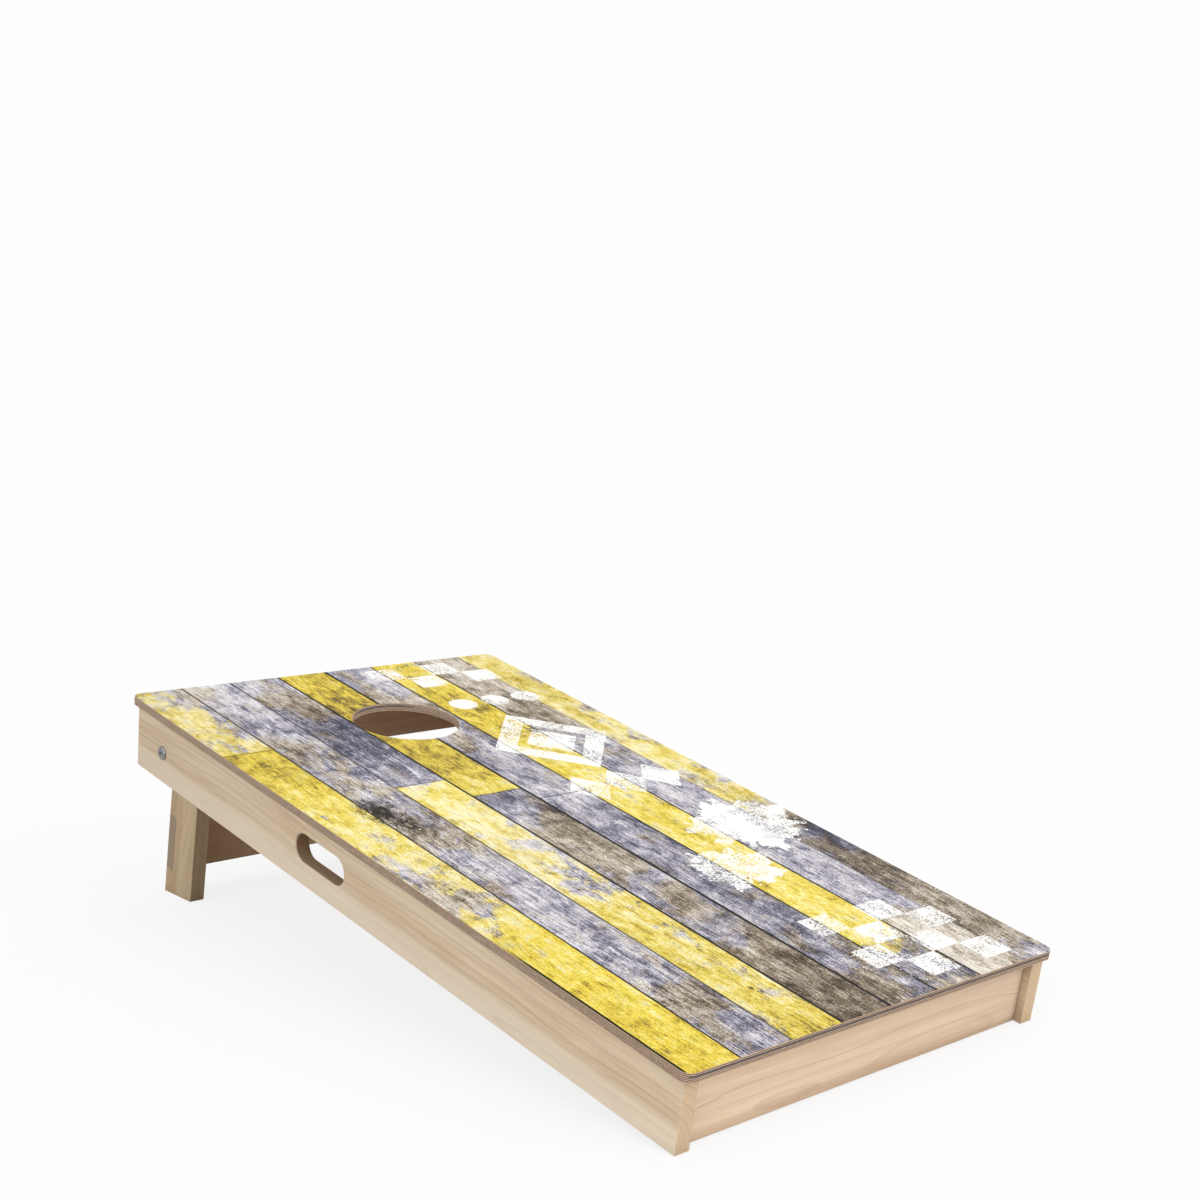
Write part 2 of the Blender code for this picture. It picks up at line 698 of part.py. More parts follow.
# Pocket screws that hold the deck down from inside the frame.
for side, side_name in SIDES:
    for number, joint_v in enumerate(DECK_SCREW_V, 1):
        pocket_screw(
            f"deck_screw_{side_name}_{number}",
            Vector((side * RAIL_MIDDLE_U, joint_v, PLY_BOTTOM)),
            Vector((side * SLANT, 0, ALONG)),
            DECK_SCREW_BITE,
            (side_rails[side], deck_panel),
        )
for end, outward, rail_v in END_RAILS:
    pocket_screw(
        f"deck_screw_{end}",
        Vector((0, sum(rail_v) / 2, PLY_BOTTOM)),
        Vector((0, outward * SLANT, ALONG)),
        DECK_SCREW_BITE,
        (end_rails[end], deck_panel),
    )

# Countersunk screws through each pivot block into its side rail.
for side, side_name in SIDES:
    for end, offset_v, offset_w in BLOCK_SCREWS:
        countersunk_screw(
            f"block_screw_{side_name}_{end}",
            (side * BLOCK_INNER_U, PIVOT_V + offset_v, PIVOT_W + offset_w),
            (side, 0, 0),
            BLOCK_SCREW_LENGTH,
            (blocks[side], side_rails[side]),
            deck_frame,
        )

# Countersunk screws through the brace into each leg's notch.
for side, side_name in SIDES:
    for level, drop in BRACE_SCREW_DROPS:
        countersunk_screw(
            f"brace_screw_{side_name}_{level}",
            (side * LEG_MIDDLE_U, LEG_BACK, BRACE_TOP - drop),
            (0, -1, 0),
            BRACE_SCREW_LENGTH,
            (leg_brace, legs[side]),
            leg_pivot,
        )

bpy.context.view_layer.update()
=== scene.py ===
import json
import math

import bpy
from mathutils import Matrix, Vector

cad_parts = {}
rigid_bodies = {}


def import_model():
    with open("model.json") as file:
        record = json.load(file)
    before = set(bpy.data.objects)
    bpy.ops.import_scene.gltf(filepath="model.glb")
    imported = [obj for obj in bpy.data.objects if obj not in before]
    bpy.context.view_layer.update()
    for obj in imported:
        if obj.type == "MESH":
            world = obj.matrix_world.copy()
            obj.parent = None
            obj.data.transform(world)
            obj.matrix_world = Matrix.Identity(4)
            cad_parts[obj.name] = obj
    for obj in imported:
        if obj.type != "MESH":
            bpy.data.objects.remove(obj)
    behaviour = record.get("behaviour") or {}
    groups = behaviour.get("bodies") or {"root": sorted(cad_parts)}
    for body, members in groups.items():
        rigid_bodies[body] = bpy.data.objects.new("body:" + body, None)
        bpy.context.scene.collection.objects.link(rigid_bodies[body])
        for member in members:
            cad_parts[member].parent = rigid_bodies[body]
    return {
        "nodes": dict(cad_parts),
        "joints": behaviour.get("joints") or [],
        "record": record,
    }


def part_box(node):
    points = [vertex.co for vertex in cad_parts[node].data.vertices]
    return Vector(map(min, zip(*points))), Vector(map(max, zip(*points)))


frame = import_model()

scene = bpy.context.scene
for stray in [o for o in scene.objects if o.type in ("CAMERA", "LIGHT") or o.name == "Cube"]:
    bpy.data.objects.remove(stray, do_unlink=True)

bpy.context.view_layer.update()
nodes = frame["nodes"]
record = frame["record"]

# ------------------------------------------------------------------ the deck's and the legs' own frames
mounts = {m["name"]: m for m in record["mounts"]}
joints = {j["name"]: j for j in frame["joints"]}
underside = mounts["rail_underside_left"]["axis"]
TILT = math.atan2(underside[1], -underside[2])
PIVOT = Vector(joints["leg_fold"]["pos_m"])
FOOT = Vector(mounts["foot_left"]["pos_m"])
LEG_TILT = math.atan2(FOOT.y - PIVOT.y, PIVOT.z - FOOT.z)


def deck_coords(co):
    return (
        co[1] * math.cos(TILT) + co[2] * math.sin(TILT),
        -co[1] * math.sin(TILT) + co[2] * math.cos(TILT),
    )


front_v = min(deck_coords(v.co)[0] for v in nodes["deck_panel"].data.vertices)
back_v = max(deck_coords(v.co)[0] for v in nodes["deck_panel"].data.vertices)
top_w = max(deck_coords(v.co)[1] for v in nodes["deck_print"].data.vertices)
DECK_LENGTH = back_v - front_v
DECK_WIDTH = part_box("deck_panel")[1].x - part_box("deck_panel")[0].x
DECK_ORIGIN = Vector(
    (0, front_v * math.cos(TILT) - top_w * math.sin(TILT), front_v * math.sin(TILT) + top_w * math.cos(TILT))
)


# ------------------------------------------------------------------ shader helpers
def lin(r, g, b):
    """A colour given in 0-255 display values, made linear."""
    def one(x):
        x /= 255
        return x / 12.92 if x <= 0.04045 else ((x + 0.055) / 1.055) ** 2.4
    return (one(r), one(g), one(b), 1.0)


class Value:
    """A shader number that takes ordinary arithmetic."""

    def __init__(self, graph, socket):
        self.graph, self.socket = graph, socket

    def _math(self, operation, *others, clamp=False):
        node = self.graph.add("ShaderNodeMath")
        node.operation = operation
        node.use_clamp = clamp
        for slot, item in enumerate((self,) + others):
            self.graph.put(node.inputs[slot], item)
        return Value(self.graph, node.outputs[0])

    def __add__(self, o): return self._math("ADD", o)
    def __radd__(self, o): return self._math("ADD", o)
    def __sub__(self, o): return self._math("SUBTRACT", o)
    def __rsub__(self, o): return (self * -1) + o
    def __mul__(self, o): return self._math("MULTIPLY", o)
    def __rmul__(self, o): return self._math("MULTIPLY", o)
    def __truediv__(self, o): return self._math("DIVIDE", o)
    def __neg__(self): return self * -1
    def abs(self): return self._math("ABSOLUTE")
    def fract(self): return self._math("FRACT")
    def floor(self): return self._math("FLOOR")
    def sqrt(self): return self._math("SQRT")
    def sin(self): return self._math("SINE")
    def power(self, o): return self._math("POWER", o)
    def atan2(self, o): return self._math("ARCTAN2", o)
    def max(self, o): return self._math("MAXIMUM", o)
    def min(self, o): return self._math("MINIMUM", o)
    def above(self, o): return self._math("GREATER_THAN", o)
    def below(self, o): return self._math("LESS_THAN", o)
    def clamp(self): return self._math("ADD", 0.0, clamp=True)

    def between(self, low, high):
        return self.above(low) * self.below(high)

    def step(self, low, high, to_low=0.0, to_high=1.0):
        """A smooth step from to_low at low to to_high at high."""
        node = self.graph.add("ShaderNodeMapRange")
        node.interpolation_type = "SMOOTHSTEP"
        for name, item in (("Value", self), ("From Min", low), ("From Max", high), ("To Min", to_low), ("To Max", to_high)):
            self.graph.put(node.inputs[name], item)
        return Value(self.graph, node.outputs[0])

    def remap(self, low, high, to_low, to_high):
        node = self.graph.add("ShaderNodeMapRange")
        for name, item in (("Value", self), ("From Min", low), ("From Max", high), ("To Min", to_low), ("To Max", to_high)):
            self.graph.put(node.inputs[name], item)
        return Value(self.graph, node.outputs[0])


class Graph:
    """Builds one material's nodes."""

    def __init__(self, name):
        self.material = bpy.data.materials.new(name)
        self.material.use_nodes = True
        self.tree = self.material.node_tree
        self.shader = self.tree.nodes["Principled BSDF"]

    def add(self, kind):
        return self.tree.nodes.new(kind)

    def put(self, slot, item):
        if isinstance(item, Value):
            self.tree.links.new(item.socket, slot)
        elif isinstance(item, bpy.types.NodeSocket):
            self.tree.links.new(item, slot)
        else:
            slot.default_value = item

    def place(self, origin=(0, 0, 0), turn=(0, 0, 0)):
        """The object's coordinates seen from a frame at origin, turned by turn."""
        where = self.add("ShaderNodeTexCoord").outputs["Object"]
        mapping = self.add("ShaderNodeMapping")
        mapping.vector_type = "TEXTURE"
        mapping.inputs["Location"].default_value = origin
        mapping.inputs["Rotation"].default_value = turn
        self.tree.links.new(where, mapping.inputs["Vector"])
        return self.split(mapping.outputs[0])

    def split(self, vector):
        node = self.add("ShaderNodeSeparateXYZ")
        self.tree.links.new(vector, node.inputs[0])
        return [Value(self, s) for s in node.outputs]

    def vector(self, x, y, z):
        node = self.add("ShaderNodeCombineXYZ")
        for slot, item in zip(node.inputs, (x, y, z)):
            self.put(slot, item)
        return node.outputs[0]

    def noise(self, vector, scale=1.0, detail=4.0, roughness=0.55, distortion=0.0, lacunarity=2.0):
        node = self.add("ShaderNodeTexNoise")
        node.inputs["Scale"].default_value = scale
        node.inputs["Detail"].default_value = detail
        node.inputs["Roughness"].default_value = roughness
        node.inputs["Distortion"].default_value = distortion
        node.inputs["Lacunarity"].default_value = lacunarity
        self.tree.links.new(vector, node.inputs["Vector"])
        return Value(self, node.outputs["Fac"])

    def voronoi(self, vector, scale=1.0, feature="F1"):
        node = self.add("ShaderNodeTexVoronoi")
        node.feature = feature
        node.inputs["Scale"].default_value = scale
        self.tree.links.new(vector, node.inputs["Vector"])
        return Value(self, node.outputs["Distance"])

    def cells(self, vector, scale=1.0):
        """Distance to the nearest cell centre, and three random numbers for that cell."""
        node = self.add("ShaderNodeTexVoronoi")
        node.inputs["Scale"].default_value = scale
        self.tree.links.new(vector, node.inputs["Vector"])
        split = self.add("ShaderNodeSeparateColor")
        self.tree.links.new(node.outputs["Color"], split.inputs[0])
        return Value(self, node.outputs["Distance"]), [Value(self, s) for s in split.outputs]

    def table(self, factor, stops):
        """Three numbers that vary with factor. A stop is (position, (a, b, c))."""
        node = self.add("ShaderNodeValToRGB")
        elements = node.color_ramp.elements
        elements.remove(elements[-1])
        for i, (position, numbers) in enumerate(stops):
            element = elements[0] if i == 0 else elements.new(position)
            element.position = position
            element.color = (*numbers, 1.0)
        self.put(node.inputs[0], factor)
        return node.outputs[0]

    def ramp(self, factor, stops, interpolation="LINEAR"):
        """(colour, alpha) of a ramp. A stop is (position, (r, g, b)[, alpha]) with 0-255 colours."""
        node = self.add("ShaderNodeValToRGB")
        node.color_ramp.interpolation = interpolation
        elements = node.color_ramp.elements
        while len(elements) > 1:
            elements.remove(elements[-1])
        for i, stop in enumerate(sorted(stops, key=lambda s: s[0])):
            element = elements[0] if i == 0 else elements.new(stop[0])
            element.position = stop[0]
            colour = lin(*stop[1])
            element.color = (*colour[:3], stop[2] if len(stop) > 2 else 1.0)
        self.put(node.inputs[0], factor)
        return node.outputs[0], Value(self, node.outputs[1])

    def mix(self, factor, a, b, blend="MIX"):
        node = self.add("ShaderNodeMix")
        node.data_type = "RGBA"
        node.blend_type = blend
        node.clamp_factor = True
        self.put(node.inputs[0], factor)
        self.put(node.inputs[6], a)
        self.put(node.inputs[7], b)
        return node.outputs[2]

    def grey(self, value):
        node = self.add("ShaderNodeCombineColor")
        for slot in node.inputs:
            self.put(slot, value)
        return node.outputs[0]

    def bump(self, height, strength, distance):
        node = self.add("ShaderNodeBump")
        node.inputs["Strength"].default_value = strength
        node.inputs["Distance"].default_value = distance
        self.put(node.inputs["Height"], height)
        return node.outputs[0]

    def object_normal(self):
        return self.split(self.add("ShaderNodeTexCoord").outputs["Normal"])

    def finish(self, colour, roughness, normal=None, **more):
        self.put(self.shader.inputs["Base Color"], colour)
        self.put(self.shader.inputs["Roughness"], roughness)
        if normal is not None:
            self.tree.links.new(normal, self.shader.inputs["Normal"])
        for name, item in more.items():
            self.put(self.shader.inputs[name.replace("_", " ")], item)
        return self.material


# ------------------------------------------------------------------ the printed film
SEAMS = (73.7, 149.0, 227.0, 306.0, 385.0, 465.0, 547.0)

# Three stains, each from dark to light.
GREY_STAIN = ((0.0, (46, 48, 62)), (0.18, (80, 82, 104)), (0.34, (121, 120, 140)), (0.52, (166, 162, 177)), (0.70, (204, 200, 208)), (0.92, (240, 237, 238)))
TAUPE_STAIN = ((0.0, (46, 38, 30)), (0.20, (92, 78, 60)), (0.36, (136, 120, 97)), (0.52, (172, 158, 138)), (0.70, (208, 197, 181)), (0.92, (238, 232, 222)))
YELLOW_STAIN = ((0.0, (70, 58, 30)), (0.14, (124, 104, 46)), (0.26, (184, 158, 56)), (0.38, (224, 197, 54)), (0.54, (237, 213, 68)), (0.70, (244, 228, 124)), (0.86, (250, 241, 192)))

# One plank a row, from the left edge to the right. Each stop is millimetres from the back edge, then how much of the
# plank is stained yellow, how much of the rest is taupe, and how light it is.
PLANKS = (
    ((0, .56, .4, .60), (255, .64, .3, .60), (266, .94, .5, .30), (340, .88, .4, .34), (430, .90, .5, .52), (600, .82, .7, .72), (700, .55, .7, .66), (770, .14, .7, .60), (830, .75, .5, .62), (900, .95, .5, .54), (1060, .96, .4, .48), (1219, 1.0, .5, .48)),
    ((0, .0, .25, .68), (110, .0, .3, .62), (180, .0, .3, .48), (280, .0, .35, .47), (360, .0, .50, .43), (450, .0, .45, .55), (530, .0, .60, .49), (600, .0, .5, .53), (680, .05, .65, .65), (780, .0, .3, .66), (900, .0, .2, .60), (1040, .0, .45, .54), (1219, .0, .45, .47)),
    ((0, .0, .30, .54), (120, .0, .50, .52), (190, .0, .2, .30), (290, .0, .05, .12), (350, .0, .0, .34), (441, .0, .1, .48), (447, .90, .4, .74), (590, .80, .3, .78), (660, .58, .3, .74), (760, .68, .4, .72), (900, .80, .5, .60), (960, .76, .5, .56), (1219, .80, .8, .47)),
    ((0, 1.0, .6, .38), (110, .94, .9, .32), (160, .80, 1.0, .18), (300, .92, .9, .34), (400, .84, .9, .28), (480, .84, .6, .54), (508, .86, .5, .60), (514, .0, .2, .36), (600, .0, .6, .44), (740, .0, .8, .52), (900, .0, .5, .43), (1050, .0, .7, .44), (1130, .0, .9, .24), (1219, .0, .9, .14)),
    ((0, .0, .2, .56), (150, .0, .7, .56), (280, .0, .6, .56), (380, .0, .15, .48), (480, .0, .1, .56), (548, .0, .2, .60), (554, .0, .1, .66), (640, .0, .05, .48), (760, .0, .35, .33), (860, .0, .3, .33), (950, .0, .3, .43), (1060, .0, .5, .38), (1219, .0, .8, .40)),
    ((0, .96, .6, .50), (180, 1.0, .8, .42), (330, .98, .8, .40), (470, .98, .6, .50), (620, .98, .5, .56), (760, 1.0, .6, .54), (1000, 1.0, .5, .60), (1080, .90, .5, .56), (1130, .10, .2, .34), (1219, .0, .7, .44)),
    ((0, .0, .9, .66), (180, .0, .95, .60), (290, .0, 1.0, .44), (360, .0, .3, .48), (430, .0, .5, .46), (520, .0, .1, .60), (760, .0, .05, .60), (1000, .0, .05, .56), (1070, .0, .9, .74), (1219, .0, .8, .74)),
    ((0, .68, .6, .62), (130, .70, .6, .52), (260, .64, .5, .62), (460, .80, .6, .72), (590, .64, .7, .66), (680, .50, .9, .60), (725, .36, .8, .58), (760, .02, .6, .22), (860, .0, .5, .14), (960, .0, .95, .28), (1120, .0, .9, .46), (1219, .0, .5, .52)),
)
# Where one plank ends and the next begins along the same line: plank number, millimetres from the back edge.
JOINTS = ((0, 264), (2, 444), (3, 511), (4, 551))


def printed_film():
    g = Graph("printed_film")
    x, y, z = g.place(DECK_ORIGIN, (TILT, 0, 0))
    s = (x + DECK_WIDTH / 2) * 1000          # millimetres from the left edge
    d = (DECK_LENGTH - y) * 1000             # millimetres from the back edge
    span = DECK_LENGTH * 1000

    wander = g.noise(g.vector(s * 0.02, d * 0.006, 3.0), 1.0, 3.0)
    fray = g.noise(g.vector(s * 0.5, d * 0.10, 7.0), 1.0, 4.0, 0.7)
    line = s + (wander - 0.5) * 2.2
    plank = None
    for seam in SEAMS:
        over = line.above(seam)
        plank = over if plank is None else plank + over
    seed = plank * 13.7

    along = d / span
    stain = None
    for number, stops in enumerate(PLANKS):
        row = g.table(along, [(p / span, amounts) for p, *amounts in stops])
        stain = row if stain is None else g.mix(line.above(SEAMS[number - 1]), stain, row)
    split = g.add("ShaderNodeSeparateColor")
    g.tree.links.new(stain, split.inputs[0])
    yellow, taupe, light = [Value(g, s_) for s_ in split.outputs]

    # Patches decide which stain shows, mottle and grain how dark it is.
    warp = g.noise(g.vector(s * 0.012, d * 0.0035, seed + 31.0), 1.0, 2.0)
    across = s + (warp - 0.5) * 26.0
    grain = g.noise(g.vector(across * 0.62, d * 0.034, seed + 33.0), 1.0, 8.0, 0.80)
    crumb = g.noise(g.vector(s * 0.50, d * 0.26, seed + 9.0), 1.0, 5.0, 0.80)
    patch = g.noise(g.vector(s * 0.020, d * 0.0115, seed + 1.0), 1.0, 12.0, 0.70, 0.25)
    patch_two = g.noise(g.vector(s * 0.019, d * 0.0095, seed + 61.0), 1.0, 12.0, 0.70, 0.2)
    mottle = g.noise(g.vector(s * 0.048, d * 0.030, seed + 5.0), 1.0, 12.0, 0.72, 0.3)
    sweep = g.noise(g.vector(s * 0.030, d * 0.0055, seed + 15.0), 1.0, 3.0, 0.5)
    streak = g.noise(g.vector(across * 1.0, d * 0.016, seed + 17.0), 1.0, 5.0, 0.75)
    texture = (mottle - 0.5) * 2.2 + (grain - 0.5) * 2.0 + (streak - 0.5) * 2.1 + (crumb - 0.5) * 2.0 + (sweep - 0.5) * 0.8
    cloud = (mottle - 0.5) * 1.9 + (grain - 0.5) * 1.4 + (crumb - 0.5) * 1.2 + (streak - 0.5) * 1.4 + (sweep - 0.5) * 0.5
    tone = texture + (light * 0.95 + 0.03)
    grey_wood, _ = g.ramp(tone, GREY_STAIN)
    taupe_wood, _ = g.ramp(tone, TAUPE_STAIN)
    yellow_wood, _ = g.ramp(cloud + (light * 0.95 + 0.04), YELLOW_STAIN)
    break_up = (crumb - 0.5) * 0.9 + (grain - 0.5) * 0.6
    is_taupe = ((patch_two - 0.5) * 3.4 - 0.5 + taupe + break_up).step(-0.16, 0.16)
    is_yellow = ((patch - 0.5) * 3.4 - 0.5 + yellow + break_up).step(-0.12, 0.12) * yellow.step(0.01, 0.10)
    colour = g.mix(is_taupe, grey_wood, taupe_wood)
    thick = yellow.remap(0.60, 0.95, 0.74, 0.98)
    colour = g.mix(is_yellow * thick, colour, yellow_wood)

    # Dark specks gather in the darker clouds.
    pepper = g.noise(g.vector(s * 0.95, d * 0.62, seed + 27.0), 1.0, 4.0, 0.72)
    gathered = pepper + (mottle - 0.5) * 1.1 + (patch_two - 0.5) * 0.8 - (light - 0.5) * 0.10
    colour = g.mix(gathered.step(0.62, 0.70) * (0.62 - is_yellow * 0.18), colour, lin(60, 50, 40))

    # Growth rings as the plank's face cuts them, thin dark open grain, and rubbed light fibres.
    contour = g.noise(g.vector(across * 0.022, d * 0.0026, seed + 71.0), 1.0, 2.0, 0.45)
    ring = ((contour * 20.0 + (grain - 0.5) * 0.22).fract() - 0.5).abs().step(0.40, 0.50)
    colour = g.mix(ring * streak.remap(0.42, 0.6, 0.02, 0.42), colour, lin(78, 64, 56))
    hair = g.noise(g.vector(across * 1.25, d * 0.020, seed + 35.0), 1.0, 4.0, 0.72)
    colour = g.mix(hair.step(0.59, 0.67) * 0.60, colour, lin(54, 46, 46))
    rubbed = g.noise(g.vector(across * 1.05, d * 0.030, seed + 51.0), 1.0, 5.0, 0.78)
    colour = g.mix(rubbed.step(0.58, 0.70) * 0.34, colour, lin(246, 242, 236))

    # Two knots in the second plank: dark scribbled bark round a small heart, with the grain bent round them.
    scribble = g.noise(g.vector(s * 0.105, d * 0.042, 92.0), 1.0, 4.0, 0.66, 0.6)
    bark = (scribble - 0.5).abs().step(0.060, 0.030)
    for ks, kd, size, core in ((90.0, 508.0, 17.0, 0.02), (97.0, 556.0, 11.0, 0.36)):
        ds, dd = (s - ks) / size, (d - kd) / (size * 1.55)
        wobble = g.noise(g.vector(s * 0.16, d * 0.075, ks), 1.0, 8.0, 0.78, 0.4)
        r = (ds * ds + dd * dd).sqrt() + (wobble - 0.5) * 2.2
        bent = ((r * 9.0).sin() * 0.5 + 0.5) * r.step(2.2, 0.8)
        colour = g.mix(bent * 0.62, colour, lin(84, 68, 50))
        colour = g.mix(bark * r.step(2.3, 1.2) * 0.90, colour, lin(30, 24, 20))
        colour = g.mix(r.step(0.78, 0.66) * 0.94, colour, lin(32, 25, 19))
        colour = g.mix(r.step(core + 0.05, core - 0.06) * 0.70, colour, lin(176, 158, 126))
    # Pin knots and nail marks.
    for ns, nd, nr in ((282, 1003, 2.6), (289, 995, 1.8), (36, 742, 1.6), (333, 1010, 1.6), (421, 300, 1.8), (190, 1108, 2.2), (196, 1120, 1.7)):
        r = ((s - ns) * (s - ns) + (d - nd) * (d - nd) * 0.5).sqrt()
        colour = g.mix(r.step(nr * 2.2, nr * 0.5) * 0.85, colour, lin(40, 32, 28))

    # Gaps between planks, wider and blacker in the middle of the board.
    gaps = None
    for seam, strength, half in zip(SEAMS, (1.0, 0.90, 1.0, 1.0, 1.0, 1.0, 0.50), (1.15, 0.95, 1.65, 2.05, 1.45, 1.48, 0.78)):
        away = (line - seam + (fray - 0.5) * 1.2).abs()
        gap = away.step(half + 0.45, half - 0.25) * strength
        gaps = gap if gaps is None else gaps.max(gap)
    for number, place in JOINTS:
        low = SEAMS[number - 1] if number else 0.0
        away = (d - place + (fray - 0.5) * 3.0).abs()
        gap = away.step(1.5, 0.5) * line.between(low, SEAMS[number]) * 0.90
        gaps = gaps.max(gap)
    gaps = gaps.max((s - 0.4 + (fray - 0.5) * 1.6).step(3.7, 2.5) * d.step(860.0, 960.0) * 0.98)
    shadow = None
    for seam in SEAMS:
        near = (line - seam).abs().step(5.0, 0.5)
        shadow = near if shadow is None else shadow.max(near)
    colour = g.mix(shadow * 0.10, colour, lin(60, 52, 46))

    def motif(e, f):
        """Plain geometric shapes down the board's right side: 1 where there is white paint."""
        def checks(first, last):
            odd = ((((e - 362.0) / 49.0).floor() + ((f - first) / 47.0).floor()) / 2.0).fract().below(0.25)
            return odd * e.between(362.0, 558.0) * f.between(first, last)
        found = checks(18.0, 112.0).max(checks(1004.0, 1192.0))
        def diamond(cx, cy, rx, ry):
            return ((e - cx) / rx).abs() + ((f - cy) / ry).abs()
        for cx in (426.0, 483.0, 540.0):
            p, q = e - cx, f - 196.0
            found = found.max((p * p + q * q).below(22.0 * 22.0))
        r = diamond(460.0, 374.0, 102.0, 116.0)
        found = found.max(r.between(0.62, 1.0)).max(r.below(0.44))
        for cx in (396.0, 460.0, 524.0):
            found = found.max(diamond(cx, 548.0, 34.0, 46.0).below(1.0))
        return found

    nibble = (g.noise(g.vector(s * 0.45, d * 0.45, 61.0), 1.0, 3.0, 0.6) - 0.5) * 2.4
    paint = motif(s + nibble, d + nibble)
    for cx, cy, rad, salt in ((520.0, 742.0, 78.0, 71.0), (404.0, 846.0, 56.0, 77.0)):
        dx, dy = s - cx, d - cy
        rr = (dx * dx + dy * dy).sqrt()
        rays = g.noise(g.vector(dx / rr.max(1.0) * 2.1, dy / rr.max(1.0) * 2.1, salt), 1.0, 3.0, 0.65)
        rough = g.noise(g.vector(s * 0.05, d * 0.05, salt + 2.0), 1.0, 5.0, 0.7)
        paint = paint.max((rr / rad - (rays - 0.5) * 1.5 - (rough - 0.5) * 1.2).below(1.0))
    # Worn through in round specks of three sizes, more in some places than in others, and sprayed past its edges.
    wear = g.noise(g.vector(s * 0.017, d * 0.017, 81.0), 1.0, 3.0, 0.6).step(0.36, 0.60)
    for size, most in ((0.20, 0.50), (0.38, 0.74), (0.66, 0.74)):
        speck, (pick, _, _) = g.cells(g.vector(s * size, d * size, 17.0))
        paint = paint * speck.above(pick * (wear * 0.70 + 0.28) * most)
    spot, (jump_s, jump_d, pick) = g.cells(g.vector(s * 0.40, d * 0.40, 19.0))
    jump_s, jump_d = (jump_s - 0.5) * 2.0, (jump_d - 0.5) * 2.0
    spray = motif(s + jump_s * jump_s * jump_s * 30.0, d + jump_d * jump_d * jump_d * 30.0)
    paint = paint.max(spray * spot.below(pick * 0.34 + 0.08) * wear.step(0.0, 0.45))
    colour = g.mix(gaps, colour, lin(14, 12, 14))
    colour = g.mix(paint * (1.0 - gaps * 0.30), colour, lin(251, 250, 248))

    height = grain * 0.4 + crumb * 0.2 + g.noise(g.vector(s * 1.4, d * 1.4, 91.0), 1.0, 2.0, 0.5) * 0.5
    return g.finish(colour, grain * 0.12 + 0.40, g.bump(height, 0.08, 0.0003), Specular_IOR_Level=0.14)


